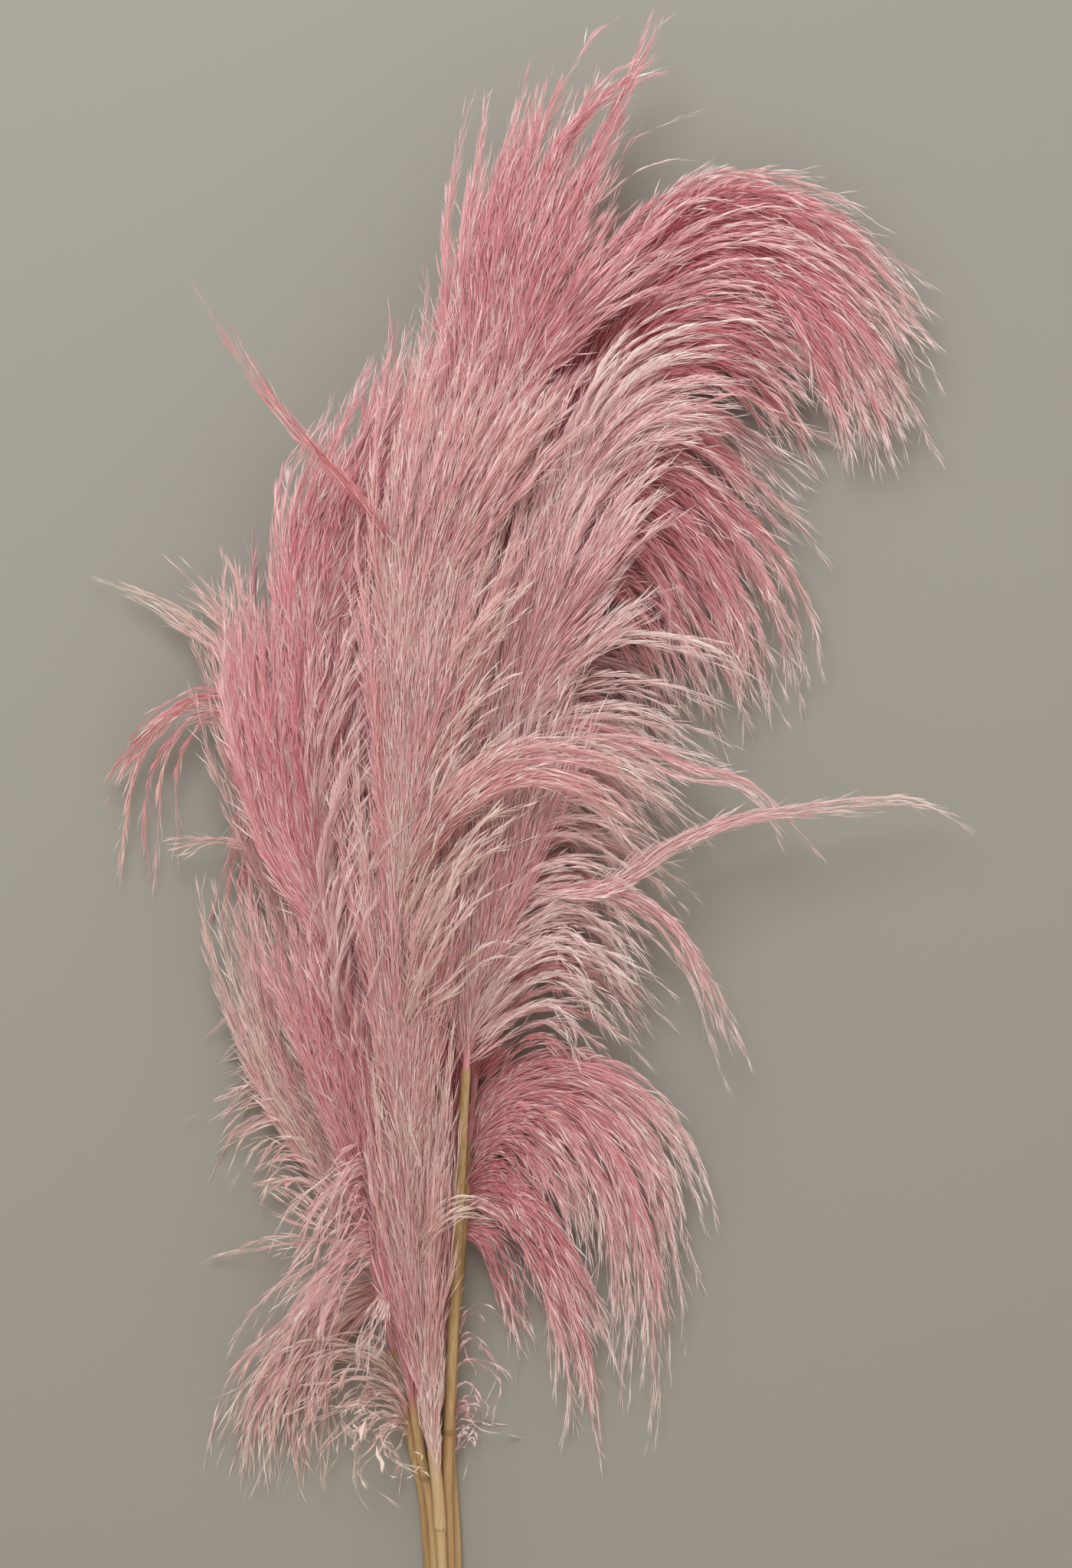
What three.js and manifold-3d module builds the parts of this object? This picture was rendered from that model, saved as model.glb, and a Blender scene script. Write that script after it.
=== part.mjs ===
// A bunch of six dyed pampas grass stems, lying on a surface.
// Millimetres. +Y runs from the cut ends to the tips and +Z is up.
// Each stem is a straw culm and the feathery plume that it carries, in a piece each.

import * as THREE from 'three';
import { mergeVertices } from 'three/addons/utils/BufferGeometryUtils.js';
import Module from 'manifold-3d';

const wasm = await Module();
wasm.setup();

// Driving dimensions.
const clearance = 0.35; // between two pieces that touch on the real bunch
const weldDistance = 1e-4; // vertices nearer than this are one
const smallestEdge = 0.02; // shorter edges are left out of a finished piece
const restLevel = 1.3; // lowest middle line of a tress that lies on the surface
const bunchMiddle = new THREE.Vector3(-5, -100, 0); // becomes the origin

const culm = {
  cutRadius: 3.3,
  neckRadius: 2.5,
  sides: 8,
  ringSpacing: 60,
  jointSwell: 0.3, // how far a joint stands proud
  jointHalfHeight: 2.6,
  colour: '#c6ab6c',
  roughness: 0.55,
};

// What is left of the leaf that wrapped the front culm, as distances from its cut end.
const sheath = { from: 209, to: 249, thickness: 0.45, lip: 1 };

const rachis = { rootRadius: 2.9, tipRadius: 1.8, sides: 5, ringSpacing: 26, pointLength: 12 };

const tress = {
  sides: 3,
  flatness: 0.5, // height of its section for its width
  profile: [[0, 0], [0.12, 0.72], [0.45, 1], [0.8, 0.6], [1, 0]], // shares of length and of radius
  strayProfile: [[0, 0], [0.08, 0.6], [0.2, 0.9], [0.34, 1], [0.48, 0.95], [0.62, 0.8], [0.76, 0.6],
    [0.89, 0.35], [1, 0]],
  lastRoot: 0.97, // share of the panicle where the last one grows
  baseZone: 0.13, // share of the panicle over which the low ones stand out wide
  lengthSpread: 0.4, // longest less shortest at one place, as a share
  leanSpread: 0.5,
  lie: 0.5, // how far the bunch is pressed flat where it lies
  flare: 1.7, // how much wider than its final lean a tress leaves the rachis
  kneeShare: 0.42, // share of its length where it bends over
  tries: 7,
  roughness: 0.8,
};

const goldenAngle = 137.508; // degrees from one tress to the next round the rachis
const turnAside = 47; // degrees that a tress is turned at each try to pass its neighbours
const lengthStride = 0.7549; // steps of the even sequences that vary length and lean
const leanStride = 0.5698;

// The stems, front to back. Points are [x, y, z]: the culm from its cut end to its neck,
// the panicle from the neck to its tip, then the tresses that stray from the rule.
const stems = [
  {
    name: 'centre',
    culm: [[-44, -602, 15.7], [-50, -410, 16.1], [-54, -356, 18], [-59, -300, 24]],
    panicle: [[-66, -210, 46], [-71, -130, 64], [-72, -50, 76], [-68, 30, 80], [-60, 104, 80],
      [-50, 174, 78], [-38, 238, 74], [-26, 290, 70], [-16, 322, 66]],
    joints: [86, 254],
    wearsSheath: true,
    tresses: {
      count: 66, baseLength: 140, tipLength: 80, baseSpread: 34, spread: 13, droop: 0.45, pull: [0.1, -1],
      radius: 4.2, settle: 0.1,
    },
    strays: [
      [[-56, 84, 80], [-76, 122, 92], [-100, 154, 96], [-124, 186, 98], [-168, 250, 100]],
      [[-72, -74, 74], [-77, -34, 96], [-40, -2, 103], [-7, 12, 103], [31, 3, 96], [74, -23, 84]],
    ],
    colour: '#dcb2ad',
  },
  {
    name: 'right',
    culm: [[-40.3, -594, 9.7], [-46.3, -410, 10.1], [-47, -362, 11.7], [-44, -290, 19], [-40, -210, 32],
      [-36.8, -150, 43]],
    panicle: [[-32, -78, 52], [-23, -2, 58], [-8, 70, 62], [12, 126, 64], [40, 166, 62], [72, 192, 58],
      [104, 205, 52]],
    joints: [120, 250],
    tresses: {
      count: 66, baseLength: 125, tipLength: 76, baseSpread: 46, spread: 27, droop: 0.9, pull: [0.15, -1],
      radius: 4, settle: 0.25,
    },
    strays: [
      [[-27, -62, 54], [0, -56, 58], [24, -46, 56], [78, -22, 50], [120, -14, 46], [172, -10, 40],
        [228, -22, 32]],
      [[-22, 6, 59], [16, 16, 62], [52, 10, 58], [104, -14, 46], [132, -34, 38], [152, -62, 30]],
      [[-4, 70, 62], [24, 76, 68], [68, 76, 64], [112, 58, 54]],
      [[-28, -74, 53], [16, -70, 52], [52, -86, 46], [80, -106, 38], [100, -130, 30], [107, -160, 24]],
      [[24, 144, 63], [60, 138, 60], [96, 106, 50], [114, 70, 40], [124, 30, 30]],
    ],
    colour: '#d9a8a4',
  },
  {
    name: 'left',
    culm: [[-47.7, -598, 9.7], [-53.7, -410, 10.1], [-62, -350, 12], [-73, -270, 22]],
    panicle: [[-89, -182, 40], [-104, -102, 50], [-115, -22, 55], [-120, 50, 57], [-110, 110, 57],
      [-94, 158, 55], [-72, 202, 52]],
    joints: [104, 230],
    tresses: {
      count: 64, baseLength: 140, tipLength: 84, baseSpread: 32, spread: 15, droop: 0.5, pull: [0, -1],
      radius: 4.2, settle: 0.1,
    },
    strays: [
      [[-75, -262, 24], [-88, -232, 34], [-112, -240, 32], [-136, -270, 24], [-148, -310, 14]],
      [[-78, -250, 26], [-92, -238, 40], [-112, -266, 36], [-126, -306, 24]],
      [[-74, -266, 23], [-100, -254, 22], [-132, -286, 16], [-152, -322, 8], [-160, -358, 2]],
    ],
    colour: '#d7a0a2',
  },
  {
    name: 'top',
    culm: [[-44, -590, 3.4], [-50, -410, 3.5], [-53, -330, 6], [-50, -230, 14]],
    panicle: [[-44, -110, 24], [-32, 10, 40], [-20, 96, 48], [-8, 166, 50], [2, 216, 48], [10, 256, 44],
      [20, 288, 42]],
    joints: [140],
    tresses: {
      count: 58, baseLength: 130, tipLength: 70, baseSpread: 30, spread: 15, droop: 0.45, pull: [0.1, -1],
      radius: 4.2, settle: 0.1,
    },
    strays: [
      [[18, 278, 42], [33, 331, 46], [48, 366, 46], [68, 412, 42]],
      [[14, 264, 44], [18, 316, 54], [36, 358, 56], [60, 382, 50]],
    ],
    colour: '#d69c9e',
  },
  {
    name: 'arch',
    culm: [[-36.6, -606, 3.4], [-42.6, -410, 3.5], [-45.5, -350, 4.4], [-41.6, -270, 8], [-35, -190, 14]],
    panicle: [[-27, -90, 20], [-17, 10, 24], [-3, 106, 27], [13, 180, 29], [34, 236, 30], [62, 270, 30],
      [94, 284, 30], [126, 278, 28], [146, 260, 26]],
    joints: [110, 312],
    tresses: {
      count: 92, baseLength: 125, tipLength: 84, baseSpread: 62, spread: 25, droop: 1, pull: [0.25, -1],
      radius: 4.2, settle: 0.3,
    },
    strays: [
      [[-31, -150, 17], [-4, -144, 26], [28, -148, 24], [60, -170, 18], [76, -202, 12], [85, -234, 6]],
      [[-33, -166, 16], [0, -158, 20], [28, -174, 18], [48, -214, 12], [64, -270, 6], [67, -342, 0.2]],
      [[-35, -182, 15], [-12, -182, 14], [6, -210, 11], [20, -250, 8], [26, -298, 4], [26, -362, 0.2]],
      [[38, 240, 30], [76, 292, 40], [118, 300, 38], [160, 272, 30], [186, 222, 24]],
      [[66, 272, 30], [112, 250, 36], [142, 204, 20], [147, 154, 0.2]],
      [[-32, -158, 17], [8, -166, 22], [36, -198, 18], [48, -246, 10]],
      [[-34, -176, 16], [-8, -186, 16], [12, -222, 10], [18, -266, 5]],
    ],
    colour: '#d89a9d',
  },
  {
    name: 'outer',
    culm: [[-51.4, -600, 3.4], [-57.4, -410, 3.5], [-66, -350, 5], [-76, -300, 7.5]],
    panicle: [[-90, -245, 10], [-104, -198, 14], [-120, -130, 18], [-132, -62, 21], [-140, 2, 23],
      [-146, 50, 24], [-153, 90, 24], [-160, 114, 22]],
    joints: [98],
    tresses: {
      count: 62, baseLength: 80, tipLength: 70, baseSpread: 70, spread: 26, droop: 0.7, pull: [-0.2, -1],
      radius: 3.8, settle: 0.2,
    },
    strays: [
      [[-140, 2, 23], [-150, 32, 26], [-163, 53, 26], [-200, 90, 20], [-235, 107, 12]],
      [[-146, 50, 24], [-156, 78, 28], [-168, 91, 26], [-204, 118, 18]],
      [[-143, 30, 24], [-160, 44, 28], [-184, 44, 26], [-200, 38, 22], [-220, 14, 12], [-238, -16, 4]],
      [[-142, 18, 23], [-172, 34, 20], [-194, 20, 14], [-206, -14, 6], [-209, -62, 0.2]],
      [[-134, -46, 22], [-152, -34, 26], [-172, -34, 22], [-202, -36, 14]],
      [[-142, 16, 23], [-152, -2, 20], [-158, -34, 10], [-160, -90, 0.2]],
    ],
    colour: '#d8b4a6',
  },
];

// The part of a curve between two of its parameters, as a curve of its own.
class Stretch extends THREE.Curve {
  constructor(whole, start, end) {
    super();
    Object.assign(this, { whole, start, end });
  }

  getPoint(t, target = new THREE.Vector3()) {
    return this.whole.getPoint(THREE.MathUtils.lerp(this.start, this.end, t), target);
  }
}

function curveThrough(points) {
  return new THREE.CatmullRomCurve3(points.map((p) => new THREE.Vector3(...p)), false, 'catmullrom');
}

// One smooth curve runs through culm and panicle; the neck is the last point of the culm.
function splitStem(stem) {
  const whole = curveThrough([...stem.culm, ...stem.panicle]);
  const neck = (stem.culm.length - 1) / (whole.points.length - 1);
  return { culmLine: new Stretch(whole, 0, neck), panicleLine: new Stretch(whole, neck, 1) };
}

// Carries a shape of revolution, whose y runs from 0 to 1, along a curve.
function bendAlong(geometry, line) {
  const { position } = geometry.attributes;
  const local = new THREE.Vector3();
  const up = new THREE.Vector3(0, 0, 1);
  for (let i = 0; i < position.count; i += 1) {
    local.fromBufferAttribute(position, i);
    const tangent = line.getTangentAt(local.y);
    const side = new THREE.Vector3().crossVectors(tangent, up).normalize();
    const rise = new THREE.Vector3().crossVectors(side, tangent);
    const spot = line.getPointAt(local.y).addScaledVector(side, local.x).addScaledVector(rise, local.z);
    position.setXYZ(i, spot.x, spot.y, spot.z);
  }
  return geometry;
}

// Welds a closed geometry and leaves out the triangles that its poles squeeze flat.
function solidFrom(geometry) {
  geometry.deleteAttribute('normal');
  geometry.deleteAttribute('uv');
  const welded = mergeVertices(geometry, weldDistance);
  const corners = welded.index.array;
  const triVerts = [];
  for (let i = 0; i < corners.length; i += 3) {
    const [a, b, c] = corners.slice(i, i + 3);
    if (a !== b && b !== c && c !== a) triVerts.push(a, b, c);
  }
  return new wasm.Manifold(new wasm.Mesh({
    numProp: 3,
    vertProperties: welded.attributes.position.array,
    triVerts: new Uint32Array(triVerts),
  }));
}

// Outline of a culm as [distance, radius]: a taper, its joints, and the sheath on the front one.
function culmProfile(length, joints, wearsSheath) {
  const bareRadius = (s) => THREE.MathUtils.lerp(culm.cutRadius, culm.neckRadius, s / length);
  const rings = Math.round(length / culm.ringSpacing);
  const stations = Array.from({ length: rings + 1 }, (_, i) => (i / rings) * length);
  const breaks = wearsSheath ? [...joints, sheath.from, sheath.to] : joints;
  const isFree = (s) => breaks.every((b) => Math.abs(b - s) > 2 * culm.jointHalfHeight);
  const profile = stations.filter(isFree).map((s) => [s, bareRadius(s)]);
  joints.forEach((joint) => {
    [-culm.jointHalfHeight, 0, culm.jointHalfHeight].forEach((offset) => {
      profile.push([joint + offset, bareRadius(joint) + (offset === 0 ? culm.jointSwell : 0)]);
    });
  });
  if (wearsSheath) {
    profile.push([sheath.from - sheath.lip, bareRadius(sheath.from)]);
    profile.push([sheath.from, bareRadius(sheath.from) + sheath.thickness]);
    profile.push([sheath.to, bareRadius(sheath.to) + sheath.thickness]);
    profile.push([sheath.to + sheath.lip, bareRadius(sheath.to)]);
  }
  return profile.sort((a, b) => a[0] - b[0]);
}

function makeCulm(stem, line) {
  const length = line.getLength();
  const end = 1 - clearance / length; // leaves the gap to the plume
  const profile = culmProfile(length, stem.joints, stem.wearsSheath);
  const outline = profile.map(([s, radius]) => new THREE.Vector2(radius, (s / length) * end));
  const closed = [new THREE.Vector2(0, 0), ...outline, new THREE.Vector2(0, end)];
  return solidFrom(bendAlong(new THREE.LatheGeometry(closed, culm.sides), line));
}

function makeRachis(line) {
  const length = line.getLength();
  const rings = Math.round(length / rachis.ringSpacing);
  const outline = Array.from({ length: rings + 1 }, (_, i) => {
    const share = (i / rings) * (1 - rachis.pointLength / length);
    return new THREE.Vector2(THREE.MathUtils.lerp(rachis.rootRadius, rachis.tipRadius, share), share);
  });
  const closed = [new THREE.Vector2(0, 0), ...outline, new THREE.Vector2(0, 1)];
  return solidFrom(bendAlong(new THREE.LatheGeometry(closed, rachis.sides), line));
}

// A tress is a slender three-sided spindle, wider than it is high.
function makeTress(line, radius, profile) {
  const outline = profile.map(([share, width]) => new THREE.Vector2(width * radius, share));
  const spindle = new THREE.LatheGeometry(outline, tress.sides).scale(1, 1, tress.flatness);
  return solidFrom(bendAlong(spindle, line));
}

// A number from -0.5 to 0.5 that is spread evenly over neighbouring indices.
const even = (index, stride) => (((index + 1) * stride) % 1) - 0.5;

// A unit vector that leans by an angle from a tangent towards a radial direction.
function leanFrom(tangent, radial, angle) {
  return tangent.clone().multiplyScalar(Math.cos(angle)).addScaledVector(radial, Math.sin(angle)).normalize();
}

// Where tress number `index` runs. It leaves the rachis at an angle, turned by the golden angle from
// the one before, and droops along its plume's pull, the more so the more it stands across that pull.
// Tips sink towards the surface.
function tressLine(rule, panicleLine, index, attempt) {
  const share = ((index + 0.5) / rule.count) * tress.lastRoot;
  const root = panicleLine.getPointAt(share);
  const tangent = panicleLine.getTangentAt(share);
  const opened = rule.spread + (rule.baseSpread - rule.spread) * Math.exp(-share / tress.baseZone);
  const angle = THREE.MathUtils.degToRad(opened * (1 + tress.leanSpread * even(index, leanStride)));
  const turn = THREE.MathUtils.degToRad(index * goldenAngle + attempt * turnAside);
  const radial = new THREE.Vector3(tangent.y, -tangent.x, 0).normalize().multiplyScalar(Math.cos(turn));
  radial.z = tress.lie * Math.sin(turn);
  const variation = 1 + tress.lengthSpread * even(index, lengthStride);
  const length = THREE.MathUtils.lerp(rule.baseLength, rule.tipLength, share) * variation;
  const direction = leanFrom(tangent, radial, angle);
  const pull = new THREE.Vector3(...rule.pull, 0).normalize();
  const droop = rule.droop * new THREE.Vector3().crossVectors(direction, pull).length();
  const opening = leanFrom(tangent, radial, angle * tress.flare);
  const knee = root.clone().addScaledVector(opening, length * tress.kneeShare);
  const tip = root.clone().addScaledVector(direction, length).addScaledVector(pull, droop * length);
  tip.z = THREE.MathUtils.lerp(tip.z, restLevel, rule.settle);
  [knee, tip].forEach((point) => point.setZ(Math.max(point.z, restLevel)));
  return new THREE.QuadraticBezierCurve3(root, knee, tip);
}

function boxesApart(a, b) {
  return [0, 1, 2].some((i) => a.min[i] > b.max[i] + clearance || b.min[i] > a.max[i] + clearance);
}

// The solids placed so far that come near a new one.
function neighbours(solid, placed) {
  const box = solid.boundingBox();
  return placed.filter((other) => !boxesApart(box, other.box));
}

// Whether a new solid keeps clear of every other piece.
function isClear(solid, owner, placed) {
  return neighbours(solid, placed).every((other) => other.owner === owner
    || solid.minGap(other.solid, 2 * clearance) >= clearance);
}

function countCrossed(solid, owner, placed) {
  return neighbours(solid, placed).filter((other) => other.owner === owner
    && solid.minGap(other.solid, clearance) === 0).length;
}

function place(solid, owner, placed) {
  placed.push({ owner, solid, box: solid.boundingBox() });
}

// Tries a tress at a few turns about the rachis. Of those that pass the other pieces, it keeps the one
// that crosses the fewest solids of its own plume.
function growTress(stem, panicleLine, index, placed) {
  const owner = `plume_${stem.name}`;
  let best = null;
  for (let attempt = 0; attempt < tress.tries; attempt += 1) {
    const line = tressLine(stem.tresses, panicleLine, index, attempt);
    const solid = makeTress(line, stem.tresses.radius, tress.profile);
    if (isClear(solid, owner, placed)) {
      const crossed = countCrossed(solid, owner, placed);
      if (best === null || crossed < best.crossed) best = { solid, crossed };
    }
  }
  if (best !== null) place(best.solid, owner, placed);
}

function growStray(stem, points, placed) {
  const owner = `plume_${stem.name}`;
  const solid = makeTress(curveThrough(points), stem.tresses.radius, tress.strayProfile);
  if (isClear(solid, owner, placed)) place(solid, owner, placed);
}

// Joins the solids of one piece and keeps its largest body.
function fuse(owner, placed) {
  const own = placed.filter((entry) => entry.owner === owner).map((entry) => entry.solid);
  const bodies = wasm.Manifold.union(own).simplify(smallestEdge).decompose();
  return bodies.reduce((a, b) => (a.volume() > b.volume() ? a : b));
}

function geometryOf(solid) {
  const mesh = solid.getMesh();
  const geometry = new THREE.BufferGeometry();
  geometry.setAttribute('position', new THREE.BufferAttribute(mesh.vertProperties, mesh.numProp));
  geometry.setIndex(new THREE.BufferAttribute(mesh.triVerts, 1));
  geometry.computeVertexNormals();
  return geometry;
}

function makePiece(name, placed, color, roughness) {
  const material = new THREE.MeshStandardMaterial({ color, roughness, metalness: 0 });
  const mesh = new THREE.Mesh(geometryOf(fuse(name, placed)), material);
  mesh.name = name;
  return mesh;
}

// Culms and rachises come first, then the strays, then the tresses of all plumes turn by turn, so that
// each plume gets its share of the room.
function growBunch() {
  const placed = [];
  const lines = stems.map(splitStem);
  stems.forEach((stem, i) => {
    place(makeCulm(stem, lines[i].culmLine), `culm_${stem.name}`, placed);
    place(makeRachis(lines[i].panicleLine), `plume_${stem.name}`, placed);
  });
  stems.forEach((stem) => stem.strays.forEach((points) => growStray(stem, points, placed)));
  const rounds = Math.max(...stems.map((stem) => stem.tresses.count));
  for (let index = 0; index < rounds; index += 1) {
    stems.forEach((stem, i) => {
      if (index < stem.tresses.count) growTress(stem, lines[i].panicleLine, index, placed);
    });
  }
  return placed;
}

function makeBunch() {
  const placed = growBunch();
  const bunch = new THREE.Group();
  stems.forEach((stem) => {
    bunch.add(makePiece(`culm_${stem.name}`, placed, culm.colour, culm.roughness));
    bunch.add(makePiece(`plume_${stem.name}`, placed, stem.colour, tress.roughness));
  });
  bunch.position.copy(bunchMiddle).negate();
  return bunch;
}

export default makeBunch();
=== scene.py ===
import math

import bpy
import numpy as np
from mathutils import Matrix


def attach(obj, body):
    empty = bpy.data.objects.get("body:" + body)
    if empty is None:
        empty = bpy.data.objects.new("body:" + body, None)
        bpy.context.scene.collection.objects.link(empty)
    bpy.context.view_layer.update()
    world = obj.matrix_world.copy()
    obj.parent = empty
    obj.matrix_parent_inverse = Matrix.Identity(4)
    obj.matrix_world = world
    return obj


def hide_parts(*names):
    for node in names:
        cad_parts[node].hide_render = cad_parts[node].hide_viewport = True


# A loose bunch of dyed pampas grass on its side: six stems, each a straw culm and a feathery plume.

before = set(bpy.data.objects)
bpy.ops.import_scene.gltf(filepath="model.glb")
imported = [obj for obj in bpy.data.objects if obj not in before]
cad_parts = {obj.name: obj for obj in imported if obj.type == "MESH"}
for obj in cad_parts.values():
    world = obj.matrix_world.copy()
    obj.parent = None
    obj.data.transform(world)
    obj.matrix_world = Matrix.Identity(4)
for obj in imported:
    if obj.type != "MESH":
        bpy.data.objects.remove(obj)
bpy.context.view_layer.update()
scene = bpy.context.scene

mm = 0.001
upward = np.array([0.0, 0.0, 1.0])
bunchMiddle = np.array([-5.0, -100.0, 0.0])  # mm in the stems' drawing; the part's origin
sheet = {"step": 0.4, "middle": (687.5, 1274.0)}  # mm a step of the fans' sheet; the origin on it


def layer(count, height, guides, bulk=1.0, tone=0.0, **ways):
    # A fan of tresses, laid between guides that are drawn on the sheet, with y down. Its heights off
    # the surface, in mm, are evenly spaced from root to tip. Bulk is a share of the plain bulk, tone
    # is added to the stem's, and spread, splay, late and wave stand in for those under tress.
    return {"count": count, "height": height, "guides": guides, "bulk": bulk, "tone": tone, **ways}


# The six stems, front to back. Culm and panicle are in mm: x to the right, y up, z off the surface.
# Joints are in mm from the cut end, where browned says how brown the culm is. A plume is made in as
# many pieces as parts says. Look stands in for values under plumeLook.

centreStem = {
    "name": "centre", "slot": "cream_plume", "seed": 11, "parts": 2,
    "culm": [[-44, -602, 15.7], [-50, -410, 16.1], [-54, -356, 18], [-59, -300, 24]],
    "panicle": [[-66, -210, 46], [-71, -130, 64], [-72, -50, 76], [-69, 20, 80], [-63, 80, 80],
                [-54, 136, 78], [-40, 186, 74]],
    "joints": [86, 254], "browned": 0.25, "look": {"tone": 0.52},
    "fans": [
        layer(30, [20, 48, 66], spread=5, splay=7, late=0.6, bulk=0.5, tone=0.12, guides=[
            [[548, 1890], [532, 1760], [520, 1620], [512, 1460], [506, 1320]],
            [[558, 1900], [550, 1760], [544, 1620], [540, 1460], [538, 1300]],
            [[566, 1880], [570, 1760], [574, 1620], [578, 1460], [584, 1300]]]),
        layer(20, [19.5, 22, 26, 34], spread=2, splay=2, late=0.5, bulk=0.14, tone=0.16, guides=[
            [[564, 1990], [560, 1930], [552, 1850], [546, 1760]],
            [[570, 1980], [566, 1920], [562, 1840], [558, 1750]],
            [[574, 1970], [571, 1910], [570, 1830], [572, 1740]]]),
        layer(4, [34, 58, 52, 40], spread=2, splay=3, bulk=0.35, tone=0.25, guides=[
            [[556, 1640], [566, 1590], [600, 1570], [640, 1580], [668, 1606]],
            [[560, 1660], [580, 1610], [610, 1590], [644, 1604]]]),
        layer(46, [48, 74, 84], spread=3, guides=[
            [[530, 1560], [524, 1400], [522, 1250], [521, 1100], [520, 960]],
            [[532, 1560], [528, 1400], [524, 1250], [524, 1080], [528, 920]],
            [[542, 1560], [548, 1400], [554, 1240], [566, 1080], [584, 930]]]),
        layer(56, [74, 90, 88], spread=3, guides=[
            [[526, 1240], [521, 1100], [519, 940], [518, 800], [524, 660]],
            [[530, 1220], [530, 1060], [536, 900], [550, 750], [570, 610]],
            [[530, 1220], [540, 1060], [560, 900], [592, 760], [632, 620]],
            [[540, 1200], [560, 1060], [588, 930], [622, 800], [664, 690]]]),
        layer(54, [80, 92, 84], spread=4, guides=[
            [[524, 960], [514, 840], [514, 720], [528, 600], [552, 490]],
            [[530, 940], [540, 800], [562, 670], [594, 550], [630, 440]],
            [[536, 900], [570, 770], [610, 650], [660, 540], [716, 440]],
            [[544, 860], [590, 740], [644, 640], [706, 560], [770, 500]]]),
        layer(30, [70, 92, 98], spread=7, splay=12, bulk=0.45, tone=0.2, guides=[
            [[548, 1380], [566, 1300], [600, 1230], [650, 1180]],
            [[546, 1260], [566, 1180], [604, 1110], [656, 1060]],
            [[548, 1140], [572, 1060], [612, 990], [664, 940]],
            [[552, 1020], [580, 940], [622, 870], [676, 820]],
            [[556, 920], [590, 840], [636, 770], [694, 720]]]),
        layer(3, [80, 94, 98, 98, 100], spread=1.5, splay=0.5, bulk=0.4, tone=-0.3, guides=[
            [[548, 820], [504, 710], [450, 632], [396, 570], [340, 500], [262, 388]]]),
        layer(10, [74, 96, 100, 96, 84], spread=4, splay=6, bulk=0.8, tone=-0.04, guides=[
            [[500, 1150], [560, 1076], [620, 1020], [690, 996], [770, 1012], [884, 1084]],
            [[506, 1190], [570, 1096], [630, 1034], [700, 1006], [790, 1030], [872, 1100]]]),
    ],
}

rightStem = {
    "name": "right", "slot": "pink_plume", "seed": 12, "parts": 2,
    "culm": [[-40.3, -594, 9.7], [-46.3, -410, 10.1], [-47, -362, 11.7], [-44, -290, 19], [-40, -210, 32],
             [-36.8, -150, 43]],
    "panicle": [[-32, -78, 52], [-23, -2, 58], [-8, 70, 62], [12, 126, 64], [40, 166, 62], [72, 192, 58],
                [104, 205, 52]],
    "joints": [120, 250], "browned": 1.0, "look": {"tone": 0.58, "tipTone": 0.3},
    "fans": [
        layer(44, [50, 66, 72], spread=4, guides=[
            [[612, 1400], [602, 1280], [604, 1150], [614, 1010], [630, 870]],
            [[618, 1380], [630, 1240], [646, 1090], [664, 950], [688, 810]],
            [[624, 1340], [654, 1200], [680, 1070], [714, 950], [754, 850]]]),
        layer(50, [56, 74, 70], spread=4, guides=[
            [[640, 1060], [640, 940], [646, 820], [664, 700], [696, 580]],
            [[646, 1040], [668, 900], [696, 780], [734, 660], [786, 560]],
            [[654, 1000], [694, 860], [736, 740], [784, 640], [850, 560]],
            [[664, 960], [712, 840], [760, 740], [812, 660], [864, 620]]]),
        layer(34, [62, 72, 60], spread=4, guides=[
            [[690, 790], [708, 690], [742, 600], [790, 520], [850, 450]],
            [[700, 760], [740, 650], [790, 570], [850, 520], [960, 506]],
            [[712, 740], [766, 650], [826, 590], [890, 560], [960, 570]]]),
        layer(8, [66, 76, 70, 60], spread=4, bulk=0.4, tone=0.3, guides=[
            [[690, 640], [750, 510], [840, 424], [950, 396], [1080, 402]],
            [[696, 690], [760, 570], [850, 484], [990, 462]],
            [[690, 740], [750, 620], [830, 540], [966, 508]]]),
        layer(12, [58, 70, 66], spread=3, bulk=0.8, tone=0.14, guides=[
            [[684, 960], [730, 860], [790, 790], [862, 732]],
            [[680, 990], [724, 900], [780, 830], [836, 776]]]),
        layer(4, [56, 64, 60, 52], spread=1.5, splay=1, bulk=0.45, tone=0.3, guides=[
            [[672, 990], [724, 880], [790, 838], [860, 834], [930, 850], [992, 884]]]),
        layer(38, [54, 60, 46, 30], spread=10, splay=16, bulk=0.66, tone=0.24, guides=[
            [[660, 1010], [716, 930], [786, 906], [856, 922], [930, 980]],
            [[652, 1060], [716, 976], [800, 966], [884, 1004], [960, 1060]],
            [[644, 1130], [706, 1040], [776, 1024], [850, 1060], [910, 1120]],
            [[636, 1210], [694, 1110], [766, 1090], [840, 1130], [890, 1180]],
            [[630, 1280], [684, 1190], [752, 1160], [818, 1200], [866, 1260]],
            [[622, 1350], [674, 1270], [732, 1236], [792, 1270], [834, 1330]],
            [[618, 1400], [660, 1350], [714, 1316], [766, 1340], [806, 1390]]]),
        layer(4, [54, 58, 46, 34], spread=2, splay=2, bulk=0.6, guides=[
            [[650, 1060], [724, 960], [806, 966], [890, 1010], [980, 1036], [1076, 1172]]]),
        layer(4, [54, 58, 50, 44, 34], spread=1.5, splay=1, bulk=0.6, tone=0.1, guides=[
            [[640, 1180], [720, 1170], [800, 1166], [864, 1116], [940, 1078], [1030, 1058], [1130, 1048],
             [1210, 1052], [1274, 1082]]]),
        layer(4, [52, 56, 40, 24], spread=2, splay=2, bulk=0.5, guides=[
            [[630, 1230], [710, 1180], [790, 1164], [860, 1196], [916, 1280], [966, 1424]]]),
    ],
}

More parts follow.
